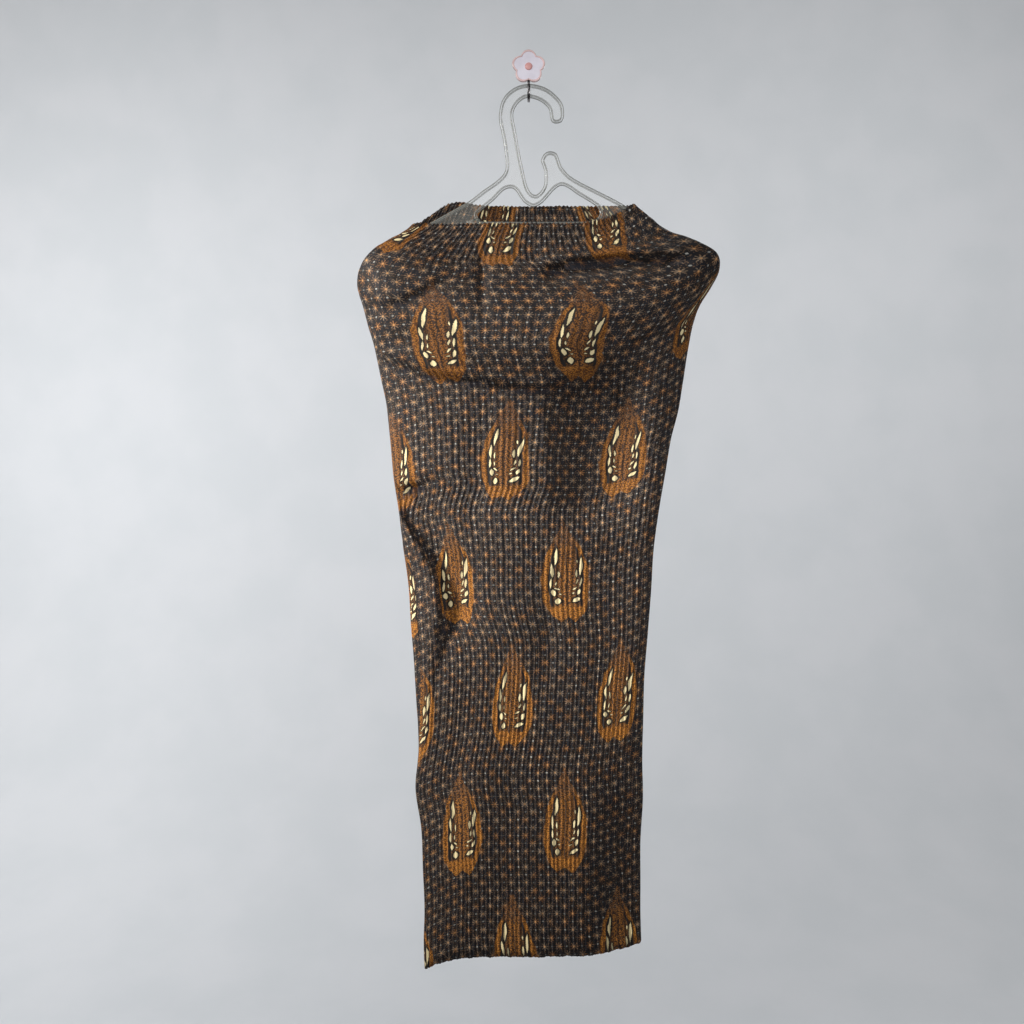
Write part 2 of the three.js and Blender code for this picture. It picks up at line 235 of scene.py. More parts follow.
def wobble(a, b, seed):
    """Slow smooth unevenness from -1 to 1 over pleat number and depth."""
    f = (np.sin(a * 0.9 + b / 61 + seed) + np.sin(a * 2.3 - b / 37 + 1.7 * seed)
         + np.sin(a * 0.31 + b / 113 + 2.9 * seed) + np.sin(a * 5.1 + b / 23 + 0.7 * seed))
    return f / 4


def pleat_line(down, start, end, closed):
    """One row of the pleated middle surface between two places along the ring, each given as its
    pleat number and its length. Gives points, outward normals and pleat numbers."""
    points, length, _ = ring(down)
    total = length[-1]
    columns = np.arange(int((end[0] - start[0]) * STEPS) + 1) / STEPS + start[0]
    place = np.interp(columns, [start[0], end[0]], [start[1], end[1]])
    place = place + 0.10 * PRINT_PLEAT * wobble(columns, down, 3.1) * smooth(0, 2, columns - start[0]) \
        * smooth(0, 2, end[0] - columns)
    at = np.mod(place + FAN * hump(columns, *FAN_PLEATS) * hump(down, *FAN_DEPTH), total)
    base = np.stack([np.interp(at, length, points[:, i]) for i in range(3)], 1)
    ahead = np.stack([np.interp(np.mod(at + 3, total), length, points[:, i]) for i in (0, 1)], 1)
    behind = np.stack([np.interp(np.mod(at - 3, total), length, points[:, i]) for i in (0, 1)], 1)
    t = ahead - behind
    t /= np.linalg.norm(t, axis=1)[:, None]
    normal = np.stack([t[:, 1], -t[:, 0]], 1)
    step = (end[1] - start[1]) / (end[0] - start[0]) / 2
    zig = ZIG_SHARE * math.sqrt(max((PLEAT_CLOTH / 2) ** 2 - step ** 2, 0.4)) / 2
    f = np.mod(columns + 0.04 * wobble(columns, down, 1.3), 1)
    tri = 4 * np.abs(f - 0.5) - 1
    profile = ZIG_SHARP * tri + ZIG_ROUND * np.cos(2 * np.pi * f)
    if not closed:
        edge = np.minimum(columns - start[0], end[0] - columns)
        profile = profile * np.minimum(1, 0.25 + edge / 3)
    zig = zig * (1 + 0.22 * wobble(columns, down, 0.4))
    lean = 0.35 * zig * wobble(columns * 0.6, down, 5.2)
    base[:, :2] += normal * (zig * profile)[:, None] + t * (lean * tri)[:, None]
    return base, normal, columns


def add_mesh(name, verts, faces, uvs=None, slots=None):
    """A smooth object from points in mm, with its place on the print and its material slots."""
    mesh = bpy.data.meshes.new(name)
    mesh.from_pydata([tuple(v) for v in np.asarray(verts) / 1000], [], faces)
    if uvs is not None:
        layer = mesh.uv_layers.new(name="print")
        corner = np.zeros(len(mesh.loops), np.int32)
        mesh.loops.foreach_get("vertex_index", corner)
        layer.data.foreach_set("uv", np.asarray(uvs, np.float32)[corner].ravel())
    if slots is not None:
        mesh.polygons.foreach_set("material_index", np.asarray(slots, np.int32))
    mesh.polygons.foreach_set("use_smooth", [True] * len(mesh.polygons))
    mesh.update()
    obj = bpy.data.objects.new(name, mesh)
    bpy.context.scene.collection.objects.link(obj)
    return obj


def print_place(columns, down):
    """Where on the print a point of the front is, in pleats and by depth, as a 0 to 1 map."""
    marks = np.array([np.interp(down, PRINT_FIT[:, 0], PRINT_FIT[:, i]) for i in range(1, 7)])
    marks = np.concatenate([[marks[0] - PRINT_BEYOND], marks, [marks[-1] + PRINT_BEYOND]])
    prints = np.array([PRINT_MARKS[0] - PRINT_BEYOND, *PRINT_MARKS, PRINT_MARKS[-1] + PRINT_BEYOND])
    shown = np.interp(columns, marks, prints)
    return np.stack([shown / PLEATS, np.full(columns.shape, print_depth(down))], 1)


def print_depth(down):
    """The second part of that: 1 at the top of the print and 0 at the hem."""
    return 1 - np.interp(down, PRINT_DOWN[:, 0], PRINT_DOWN[:, 1]) / LENGTH


def back_place(columns, down, shift=BACK_PRINT):
    """The same for the back and the turned-in casing, which are gathered evenly."""
    return np.stack([(columns + shift) / PLEATS, np.full(columns.shape, print_depth(down))], 1)


def shell_faces(rows, inner_rows, n, inner_every):
    """Faces of a closed shell and their slots. Its points are rows of n for the outside, then
    fewer rows of n for the inside."""
    first = rows * n
    bottom, end = (rows - 1) * n, first + (inner_rows - 1) * n
    faces = [(a + i, a + n + i, a + n + i + 1, a + i + 1)
             for a in range(0, bottom, n) for i in range(n - 1)]
    slots = [0] * len(faces)
    faces += [(a + i, a + i + 1, a + n + i + 1, a + n + i)
              for a in range(first, end, n) for i in range(n - 1)]
    slots += [1] * (len(faces) - len(slots))
    faces += [(i, i + 1, first + i + 1, first + i) for i in range(n - 1)]
    faces += [(bottom + i, end + i, end + i + 1, bottom + i + 1) for i in range(n - 1)]
    for c, turned in ((0, False), (n - 1, True)):
        for j in range(inner_rows - 1):
            side = [(j * inner_every + q) * n + c for q in range(inner_every + 1)]
            loop = side + [first + (j + 1) * n + c, first + j * n + c]
            faces.append(tuple(loop if turned else loop[::-1]))
    slots += [0] * (len(faces) - len(slots))
    return faces, slots


def panel(name, front, rows, inner_every):
    """A closed thin shell: the face, every few rows of it again as the inside, and the edges."""
    upper = rows * 3 // 8
    downs = np.concatenate([[CASING], np.linspace(CASING + 0.1, HIPS, upper)[:-1],
                            np.linspace(HIPS, LENGTH - 4, rows - upper - 2),
                            [LENGTH - 1.6, LENGTH]])
    downs = downs[: (len(downs) - 1) // inner_every * inner_every + 1]
    downs[-1] = LENGTH
    outer, inner, uv, inner_uv = [], [], [], []
    for j, down in enumerate(downs):
        _, length, front_length = ring(down)
        seam = np.interp(down, LEFT_SEAM[:, 0], LEFT_SEAM[:, 1])
        gap = SEAM / 2
        if front:
            ends = (0, seam + gap), (PLEATS, front_length - gap)
        else:
            ends = (0, front_length + gap), (PLEATS, length[-1] + seam - gap)
        line, normal, col = pleat_line(down, *ends, False)
        place = print_place(col, down) if front else back_place(col, down)
        line[:, 2] += smooth(LENGTH - HEM, LENGTH, down) * (
            1.1 * wobble(col * 0.5, 0, 5.2) + 0.9 * wobble(col * 1.7, 0, 2.6)
            + 0.5 * np.cos(2 * np.pi * col))
        outer.append(line)
        uv.append(place)
        if j % inner_every == 0:
            back = line.copy()
            back[:, :2] -= normal * PANEL_THICK
            inner.append(back)
            inner_uv.append(place)
    faces, slots = shell_faces(len(outer), len(inner), len(outer[0]), inner_every)
    return add_mesh(name, np.concatenate(outer + inner), faces, np.concatenate(uv + inner_uv), slots)


# The casing's section from its outer edge over the rim and down inside: depth, and 1 outside to
# -1 inside.
CASING_PATH = [
    (43.95, 1), (43.85, 1), (42.2, 1), (41, 1), (39.6, 1), (36, 1), (30, 1), (24, 1), (18, 1),
    (12, 1), (8, 1), (5, 1), (3, 1), (1.5, 1), (0.5, 0.7), (0, 0), (0.5, -0.7), (1.5, -1), (4, -1),
    (10, -1), (18, -1), (26, -1), (34, -1), (40, -1), (CASING - SEAM, -1), (CASING - SEAM, -0.5)]
STITCHES = 40.0            # depth of the line of stitches that draws the casing in
CRIMP = 7.0                # depth of the crimped rim


def waistband():
    """The casing as one closed tube with the panels' pleats."""
    lines, uvs = [], []
    for down, side in CASING_PATH:
        _, length, front_length = ring(down)
        front, nf, cf = pleat_line(down, (0, 0.0), (PLEATS, front_length), True)
        back, nb, cb = pleat_line(down, (PLEATS, front_length), (2 * PLEATS, length[-1]), True)
        line = np.concatenate([front[:-1], back[:-1]])
        normal = np.concatenate([nf[:-1], nb[:-1]])
        col = np.concatenate([cf[:-1], cb[:-1]])
        pleat_top = 0.5 + 0.5 * np.cos(2 * np.pi * np.mod(col, 1))
        flare = 1 - smooth(0, CRIMP, down)
        line[:, 2] += flare * (1.6 * pleat_top - 0.4 + 0.9 * wobble(col * 1.4, 0, 2.2))
        offset, ripple = side * CASING_THICK / 2, 0.0
        if side > 0:
            drawn_in = 0.3 * np.exp(-((down - STITCHES) / 1.2) ** 2)
            offset = offset * (1 - smooth(37, 43, down)) * (1 - drawn_in)
            ripple = 0.35 * np.sin(down / 2.2 + 3 * wobble(col, 0, 4))
        offset = offset + flare * 0.9 * wobble(col, 0, 0.3) + ripple
        line[:, :2] += normal * offset[:, None]
        lines.append(line)
        face = np.where((col < PLEATS)[:, None], print_place(col, down), back_place(col - PLEATS, down))
        uvs.append(face if side >= 0 else back_place(col, down, INSIDE_PRINT))
    n = len(lines[0])
    faces = []
    for j in range(len(lines)):
        a, b = j * n, (j + 1) % len(lines) * n
        faces += [(a + i, a + (i + 1) % n, b + (i + 1) % n, b + i) for i in range(n)]
    return add_mesh("waistband_cloth", np.concatenate(lines), faces, np.concatenate(uvs))


# ---- shader maths ----


class Sums:
    """Writes shader maths into a node tree: each call gives the socket of its result."""

    def __init__(self, tree):
        self.tree = tree

    def node(self, kind, **props):
        made = self.tree.nodes.new(kind)
        for key, value in props.items():
            setattr(made, key, value)
        return made

    def link(self, source, target):
        if isinstance(source, (int, float)):
            target.default_value = source
        elif isinstance(source, tuple):
            target.default_value = source if len(source) == len(target.default_value) else (*source, 1)
        else:
            self.tree.links.new(source, target)

    def do(self, operation, a, b=0.0, c=0.0):
        made = self.node("ShaderNodeMath", operation=operation)
        for value, socket in zip((a, b, c), made.inputs):
            self.link(value, socket)
        return made.outputs[0]

    def add(self, a, b):
        return self.do("ADD", a, b)

    def sub(self, a, b):
        return self.do("SUBTRACT", a, b)

    def mul(self, a, b):
        return self.do("MULTIPLY", a, b)

    def div(self, a, b):
        return self.do("DIVIDE", a, b)

    def step(self, value, lo, hi):
        """0 to 1 as value goes from lo to hi, smoothly."""
        made = self.node("ShaderNodeMapRange", interpolation_type="SMOOTHSTEP")
        for v, name in ((value, "Value"), (lo, "From Min"), (hi, "From Max")):
            self.link(v, made.inputs[name])
        return made.outputs["Result"]

    def mix(self, share, a, b, blend="MIX"):
        made = self.node("ShaderNodeMix", data_type="RGBA", blend_type=blend)
        self.link(share, made.inputs["Factor"])
        colours = [s for s in made.inputs if s.type == "RGBA"]
        self.link(a, colours[0])
        self.link(b, colours[1])
        return [s for s in made.outputs if s.type == "RGBA"][0]

    def vector(self, x, y, z=0.0):
        made = self.node("ShaderNodeCombineXYZ")
        for value, socket in zip((x, y, z), made.inputs):
            self.link(value, socket)
        return made.outputs[0]

    def noise(self, vector, scale, detail=2.0, roughness=0.5):
        made = self.node("ShaderNodeTexNoise")
        self.link(vector, made.inputs["Vector"])
        self.link(scale, made.inputs["Scale"])
        self.link(detail, made.inputs["Detail"])
        self.link(roughness, made.inputs["Roughness"])
        return made.outputs["Fac"]

    def uneven(self, vector, scale, swing):
        """A slow drift, about half of swing to either side of 0."""
        return self.mul(self.sub(self.noise(vector, scale, 1.0), 0.5), swing)

    def cells(self, vector, scale):
        made = self.node("ShaderNodeTexVoronoi")
        self.link(vector, made.inputs["Vector"])
        self.link(scale, made.inputs["Scale"])
        return made.outputs["Distance"]

    def curve(self, value, stops):
        """Height at value on a line through the stops."""
        made = self.node("ShaderNodeValToRGB")
        self.link(value, made.inputs["Fac"])
        marks = made.color_ramp.elements
        while len(marks) < len(stops):
            marks.new(0.5)
        for mark, (at, height) in zip(marks, stops):
            mark.position = at
            mark.color = (height, height, height, 1)
        made.color_ramp.interpolation = "LINEAR"
        return made.outputs["Color"]

    def bump(self, height, strength, distance, shader):
        made = self.node("ShaderNodeBump")
        made.inputs["Strength"].default_value = strength
        made.inputs["Distance"].default_value = distance
        self.link(height, made.inputs["Height"])
        self.link(made.outputs[0], shader.inputs["Normal"])


def rgb(code):
    """A colour written as hex, in linear light."""
    parts = [int(code[i:i + 2], 16) / 255 for i in (0, 2, 4)]
    return tuple(p / 12.92 if p <= 0.04045 else ((p + 0.055) / 1.055) ** 2.4 for p in parts)


def new_look(name):
    """A material, the maths of its tree and its shader."""
    look = bpy.data.materials.new(name)
    look.use_nodes = True
    return look, Sums(look.node_tree), look.node_tree.nodes["Principled BSDF"]


# ---- batik print ----
REPEAT_ACROSS = 126.2      # mm between medallions in a row
REPEAT_DOWN = 152.5        # mm between rows
FIRST_ROW = 24.4           # mm from the rim to the first row's middle
ROW_SHIFT = 64.9           # each second row stands this far over
STAR_ACROSS, STAR_DOWN = 18.03, 19.06
MEDALLION_HALF = 25.2
MEDALLION_TALL = 128.0
MEDALLION_PROFILE = [(0, .05), (.08, .15), (.16, .32), (.24, .54), (.33, .74), (.45, .9), (.58, 1),
                     (.7, 1), (.8, .94), (.88, .82), (.94, .64), (1, .34)]
CHANNEL = (0.58, 0.63, 0.71, 0.77)   # shares of the half width where it begins and ends
# x and y in mm from the medallion's middle, y down; half length and half width; tilt in degrees,
# top to the right.
PETALS = [
    (-11.3, -16.1, 10.5, 2.1, 8), (-15.9, 2.2, 7.8, 1.8, -4), (-16.1, 17, 5.4, 1.5, 0),
    (-14.2, 28.3, 3.7, 3, 0), (-9.4, 38.8, 3.7, 3.5, 0), (-9.8, 6.5, 3.9, 1.1, 0),
    (-10.6, 17, 2.6, .8, 0), (-9.4, 24.4, 2.8, 1, -60), (-7, 30, 1.4, .7, 90),
    (16.7, -3.5, 10.5, 2.3, 8), (10.7, 4.8, 4.8, 1.7, 4), (12.4, -10, 2.4, .9, 0),
    (16.4, 15.7, 4.8, 1.5, 4), (11.3, 15.2, 3.1, 1.1, 15), (10, 23.8, 3.3, 1.1, 55),
    (15.2, 27.9, 3.9, 2.3, 25), (7.7, 30, 1.9, .8, 80), (11.3, 37.9, 5.2, 2.6, 65),
]
PETALS_LONGER, PETALS_NARROWER, PETALS_CLOSER = 1.16, 0.96, 0.93   # as the cloth shows them
BLEED = 1.5                # mm that the dye wanders
HAND = 6.0                 # mm that the maker's hand wanders over a medallion
WEAVE_ACROSS, WEAVE_DOWN = 0.9, 0.55     # mm from thread to thread
DYES = {name: rgb(code) for name, code in {
    "ground": "13131a", "brown_ground": "1d1613", "speck": "7c6048", "tick": "866a50",
    "pale_star": "8f7b67", "brown_star": "98683e", "star_middle": "d09a62", "dot_rim": "10121a",
    "dot": "b3b0a8", "border": "5c3714", "border_dots": "d08c36", "border_grain": "94571e",
    "tip": "30221a", "tip_dots": "ac723a", "core": "40291a", "core_dots": "c07c32",
    "core_grain": "a06c30", "stem": "1d1614", "channel": "201b1b", "petal_rim": "17120f",
    "cream": "f8e8b8", "worn_cream": "d8c08c", "thin": "8c8c8c", "full": "ffffff",
    "wrong_side_and_shade": "201f27"}.items()}
UPPER_ROWS_PAINTED_SHADE = (0.66, 0.63, 0.6)       # the medallions' fill is darker near the waist by this: painted shade


def petal_group():
    """Shader group of one petal: 1 in its middle, 0 on its edge and less outside."""
    group = bpy.data.node_groups.new("petal", "ShaderNodeTree")
    for name in ("x", "y", "cx", "cy", "half_length", "half_width", "tilt"):
        group.interface.new_socket(name, in_out="INPUT", socket_type="NodeSocketFloat")
    group.interface.new_socket("inside", in_out="OUTPUT", socket_type="NodeSocketFloat")
    s = Sums(group)
    given = s.node("NodeGroupInput").outputs
    dx, dy = s.sub(given["x"], given["cx"]), s.sub(given["y"], given["cy"])
    c, n = s.do("COSINE", given["tilt"]), s.do("SINE", given["tilt"])
    across = s.add(s.mul(dx, c), s.mul(dy, n))
    along = s.sub(s.mul(dy, c), s.mul(dx, n))
    wide = s.div(s.do("ABSOLUTE", across), given["half_width"])
    tall = s.div(along, given["half_length"])
    inside = s.sub(1.0, s.add(wide, s.mul(tall, tall)))
    s.link(inside, s.node("NodeGroupOutput").inputs[0])
    return group


def star(s, x, y):
    """An eight-rayed star round the middle of a cell, 0 to 1, and the distance from the middle."""
    r = s.do("SQRT", s.add(s.mul(x, x), s.mul(y, y)))
    angle = s.do("ARCTAN2", y, x)
    turn = s.do("WRAP", angle, -math.pi / 8, math.pi / 8)
    off = s.do("ABSOLUTE", s.mul(r, s.do("SINE", turn)))
    ray = s.sub(1.0, s.step(off, 0.2, 0.68))
    reach = s.sub(1.0, s.step(r, 4.0, 5.2))
    return s.mul(ray, reach), r


def lattice(s, x, y, place):
    """The dark ground with stars, and dots with four ticks between them."""
    sx, sy = s.div(s.add(x, PRINT_PLEAT), STAR_ACROSS), s.div(s.sub(y, FIRST_ROW), STAR_DOWN)

    def cell(dx, dy):
        return (s.mul(s.do("WRAP", s.add(sx, dx), -0.5, 0.5), STAR_ACROSS),
                s.mul(s.do("WRAP", s.add(sy, dy), -0.5, 0.5), STAR_DOWN))

    star_a, near_a = star(s, *cell(0, 0))
    star_b, near_b = star(s, *cell(0.5, 0.5))
    dot_x, dot_y = cell(0.5, 0)
    side_x, side_y = cell(0, 0.5)
    dots = s.do("MINIMUM", star(s, dot_x, dot_y)[1], star(s, side_x, side_y)[1])
    ticks = s.do("MINIMUM", s.do("MINIMUM", s.do("ABSOLUTE", dot_x), s.do("ABSOLUTE", dot_y)),
                 s.do("MINIMUM", s.do("ABSOLUTE", side_x), s.do("ABSOLUTE", side_y)))
    ticks = s.mul(s.sub(1.0, s.step(ticks, 0.2, 0.6)),
                  s.mul(s.step(dots, 1.7, 2.1), s.sub(1.0, s.step(dots, 2.9, 3.4))))
    tint = s.noise(place, 0.11, 0.0)
    cloth = s.mix(s.step(tint, 0.35, 0.65), DYES["ground"], DYES["brown_ground"])
    speck = s.step(s.cells(place, 0.55), 0.34, 0.16)
    cloth = s.mix(s.mul(speck, 0.85), cloth, DYES["speck"])
    cloth = s.mix(s.mul(ticks, 0.5), cloth, DYES["tick"])
    browner = s.step(s.noise(place, 0.055, 1.0), 0.44, 0.6)
    worn = s.add(0.5, s.mul(0.45, s.step(s.noise(place, 0.12, 2.0), 0.38, 0.62)))
    cloth = s.mix(s.mul(s.do("MAXIMUM", star_a, star_b), worn), cloth,
                  s.mix(browner, DYES["pale_star"], DYES["brown_star"]))
    cloth = s.mix(s.sub(1.0, s.step(dots, 1.5, 2.3)), cloth, DYES["dot_rim"])
    lit = s.add(0.3, s.mul(0.6, s.step(s.noise(place, 0.09, 1.0), 0.35, 0.65)))
    cloth = s.mix(s.mul(s.sub(1.0, s.step(dots, 0.7, 1.25)), lit), cloth, DYES["dot"])
    middle = s.sub(1.0, s.step(s.do("MINIMUM", near_a, near_b), 0.6, 1.3))
    return s.mix(s.mul(middle, 0.8), cloth, DYES["star_middle"])


def medallion_place(s, x, y, place, swapped):
    """mm across and down from the middle of the nearest medallion."""
    high = s.add(s.sub(y, FIRST_ROW), REPEAT_DOWN / 2)
    row = s.do("FLOOR", s.div(high, REPEAT_DOWN))
    down = s.sub(s.sub(high, s.mul(row, REPEAT_DOWN)), REPEAT_DOWN / 2)
    odd = s.do("ABSOLUTE", s.do("WRAP", row, -1.0, 1.0))
    across = s.do("WRAP", s.sub(s.add(x, PRINT_PLEAT), s.mul(odd, ROW_SHIFT)),
                  -REPEAT_ACROSS / 2, REPEAT_ACROSS / 2)
    return s.add(across, s.uneven(place, 0.05, HAND)), s.add(down, s.uneven(swapped, 0.045, HAND))


def medallion(s, cloth, mx, my, flat_y, place, grain):
    """A winged leaf: core and stem, a dark channel round them and a dotted border."""
    t = s.add(s.div(my, MEDALLION_TALL), 0.5)                        # 0 at the tip, 1 at the foot
    half = s.mul(s.curve(t, MEDALLION_PROFILE), MEDALLION_HALF)
    side = s.do("ABSOLUTE", mx)
    e = s.div(side, s.do("MAXIMUM", half, 0.5))                      # 0 at the stem, 1 at the edge
    notch = s.mul(side, 0.8)
    inside = s.mul(s.sub(1.0, s.step(e, 0.94, 1.04)),
                   s.sub(1.0, s.step(my, s.add(notch, 56.5), s.add(notch, 58.5))))
    inside = s.mul(inside, s.step(t, 0.0, 0.03))
    dotted = s.step(s.cells(place, 0.75), 0.62, 0.3)
    border = s.mix(dotted, DYES["border"], DYES["border_dots"])
    border = s.mix(s.mul(s.step(grain, 0.4, 0.7), 0.5), border, DYES["border_grain"])
    fill = s.mix(s.mul(dotted, s.sub(1.0, s.step(side, 4.5, 11.0))), DYES["core"], DYES["core_dots"])
    fill = s.mix(s.mul(dotted, 0.5), fill, DYES["core_grain"])
    stem = s.mul(s.sub(0.7, s.mul(s.step(side, 0.5, 1.3), 0.7)), s.step(my, -30, -20))
    fill = s.mix(stem, fill, DYES["stem"])
    channel = s.mul(s.step(e, *CHANNEL[:2]), s.sub(1.0, s.step(e, *CHANNEL[2:])))
    fill = s.mix(s.mul(channel, s.step(t, 0.22, 0.3)), fill, DYES["channel"])
    fill = s.mix(s.step(e, *CHANNEL[2:]), fill, border)
    fill = s.mix(s.step(my, 44.0, 47.0), fill, border)
    tip = s.sub(1.0, s.step(t, 0.2, 0.3))
    fill = s.mix(tip, fill, s.mix(dotted, DYES["tip"], DYES["tip_dots"]))
    # painted shade: the medallions in the upper rows are darkened towards the waist
    fill = s.mix(s.step(flat_y, 200, 650), s.mix(1.0, fill, UPPER_ROWS_PAINTED_SHADE, "MULTIPLY"), fill)
    return s.mix(s.mul(inside, s.sub(1.0, s.mul(tip, 0.35))), cloth, fill)


def petals(s, cloth, mx, my, grain):
    """Cream petals with dark rims over a medallion."""
    group, nearest = petal_group(), None
    petal_x = s.div(mx, PETALS_CLOSER)
    for cx, cy, length, width, tilt in PETALS:
        one = s.node("ShaderNodeGroup", node_tree=group)
        for key, value in (("x", petal_x), ("y", my), ("cx", cx), ("cy", cy),
                           ("half_length", length * PETALS_LONGER),
                           ("half_width", width * PETALS_NARROWER), ("tilt", math.radians(tilt))):
            s.link(value, one.inputs[key])
        nearest = one.outputs[0] if nearest is None else s.do("MAXIMUM", nearest, one.outputs[0])
    cloth = s.mix(s.step(nearest, -1.1, -0.3), cloth, DYES["petal_rim"])
    cream = s.mix(s.step(grain, 0.35, 0.75), DYES["cream"], DYES["worn_cream"])
    return s.mix(s.step(nearest, 0.02, 0.24), cloth, cream)


def batik(name, faded_and_shaded_by=0.0):
    """Dyed pleated cloth: a lattice of stars and dots with rows of winged medallions."""
    look, s, shader = new_look(name)
    split = s.node("ShaderNodeSeparateXYZ")
    s.link(s.node("ShaderNodeUVMap", uv_map="print").outputs[0], split.inputs[0])
    flat_x = s.mul(split.outputs[0], PLEATS * PRINT_PLEAT)
    flat_y = s.mul(s.sub(1.0, split.outputs[1]), LENGTH)
    place, swapped = s.vector(flat_x, flat_y), s.vector(flat_y, flat_x)
    x, y = s.add(flat_x, s.uneven(place, 0.9, BLEED)), s.add(flat_y, s.uneven(swapped, 0.8, BLEED))
    grain = s.noise(place, 1.1, 3.0, 0.7)
    mx, my = medallion_place(s, x, y, place, swapped)
    cloth = medallion(s, lattice(s, x, y, place), mx, my, flat_y, place, grain)
    cloth = petals(s, cloth, mx, my, grain)
    # the dye is uneven, and the crêpe has a fine weave
    dye = s.mix(s.step(grain, 0.25, 0.75), DYES["thin"], DYES["full"])
    cloth = s.mix(0.55, cloth, dye, "MULTIPLY")
    # the inside is mixed towards dark navy: partly the duller wrong side of the print, partly painted
    # shade of the skirt's inside
    if faded_and_shaded_by:
        cloth = s.mix(faded_and_shaded_by, cloth, DYES["wrong_side_and_shade"])
    s.link(cloth, shader.inputs["Base Color"])
    shader.inputs["Roughness"].default_value = 0.72
    shader.inputs["Specular IOR Level"].default_value = 0.3
    shader.inputs["Sheen Weight"].default_value = 0.06
    shader.inputs["Sheen Roughness"].default_value = 0.45
    weave_x = s.do("SINE", s.mul(flat_x, 2 * math.pi / WEAVE_ACROSS))
    weave_y = s.do("SINE", s.mul(flat_y, 2 * math.pi / WEAVE_DOWN))
    height = s.add(s.mul(s.mul(weave_x, weave_y), 0.5), s.mul(grain, 1.2))
    s.bump(height, 0.35, 0.0002, shader)
    return look


def plastic(name, colour, roughness, mottle=0.03, ripple=0.25, clear=None):
    """Moulded plastic with slight flow marks; clear gives how solid its flats and its edges look, and
    paints its edges grey as painted shade.
    """
    look, s, shader = new_look(name)
    where = s.node("ShaderNodeTexCoord").outputs["Object"]
    flow = s.noise(where, 60.0, 3.0)
    darker = tuple(c * (1 - 4 * mottle) for c in colour)
    shade = s.mix(s.step(flow, 0.3, 0.7), darker, colour)
    if clear:
        flats, edges = clear
        split = s.node("ShaderNodeSeparateXYZ")
        s.link(s.node("ShaderNodeTexCoord").outputs["Normal"], split.inputs[0])
        # painted shade: the turned edges of clear plastic are grey and more solid, for the dark lines its
        # edges show
        turned = s.sub(1.0, s.step(s.do("ABSOLUTE", split.outputs[1]), 0.75, 0.995))
        shade = s.mix(turned, shade, rgb("7c7f7a"))
        s.link(s.add(flats, s.mul(turned, edges - flats)), shader.inputs["Alpha"])
    s.link(shade, shader.inputs["Base Color"])
    s.link(s.add(s.mul(flow, 0.12), roughness), shader.inputs["Roughness"])
    shader.inputs["IOR"].default_value = 1.49
    s.bump(s.noise(where, 140.0, 2.0), ripple, 0.0003, shader)
    return look


def chrome(name):
    """Dark plated steel, a little worn."""
    look, s, shader = new_look(name)
    where = s.node("ShaderNodeTexCoord").outputs["Object"]
    wear = s.noise(where, 400.0, 4.0)
    s.link(s.mix(s.step(wear, 0.35, 0.7), rgb("5c5a5c"), rgb("8f8b8a")), shader.inputs["Base Color"])
    s.link(s.add(s.mul(wear, 0.2), 0.15), shader.inputs["Roughness"])
    shader.inputs["Metallic"].default_value = 1.0
    return look


# ---- hanger and hook ----
HANGER_OUTLINE = [
    (33, -75), (40, -73), (43, -65), (41, -51), (31, -39), (19, -31), (3, -27), (-12, -29),
    (-25, -37), (-33, -48), (-36, -61), (-36, -73), (-31, -98), (-28, -123), (-30, -135),
    (-39, -145), (-56, -157), (-73, -170), (-96, -183), (-121, -197), (-142.5, -208),
    (-163.5, -221), (-182.3, -234.6), (-193.2, -245.8), (-198.2, -256), (-198, -266),
    (-192, -274), (-184, -274), (-176, -264), (-166, -249), (-152, -237), (-133, -226),
    (-112, -217), (-90, -215), (87, -215), (114, -215), (138, -221), (159, -231), (180, -240),
    (192, -246), (200, -257), (206, -262), (213, -258), (217, -249), (214, -239.5),
    (204.5, -231.2), (191, -224), (170.5, -214), (150.5, -201), (128, -183), (112, -172),
    (87, -159), (65, -148), (50, -139), (41, -129), (38, -122), (34, -112), (26, -109),
    (19, -112), (15, -120), (17, -127), (19, -135), (19, -148), (15, -157), (9, -162),
    (3, -160), (-2, -151), (-6, -135), (-11, -111), (-16, -83), (-19, -66), (-16, -55),
    (-9, -47), (0, -43.8), (14, -48), (24, -57), (26, -67), (28, -73)]
HANGER_WINDOW = [
    (-43, -169), (-31, -157), (-22, -154), (-16, -157), (-10, -166), (-5, -172), (5, -177),
    (15, -173), (23, -165), (31, -156), (39, -151), (47, -153), (60, -162), (78, -173),
    (85, -179), (86, -187), (80, -193), (70, -195), (-49, -195), (-59, -193), (-63, -187),
    (-59, -182)]


def rounded(run, parts=4):
    """A closed run of points with its corners eased."""
    p = np.array(run, float)
    a, b, c, d = np.roll(p, 1, 0), p, np.roll(p, -1, 0), np.roll(p, -2, 0)
    out = []
    for q in range(parts):
        t = q / parts
        out.append(0.5 * (2 * b + (c - a) * t + (2 * a - 5 * b + 4 * c - d) * t * t
                          + (3 * b - a - 3 * c + d) * t ** 3))
    return np.stack(out, 1).reshape(-1, 2)


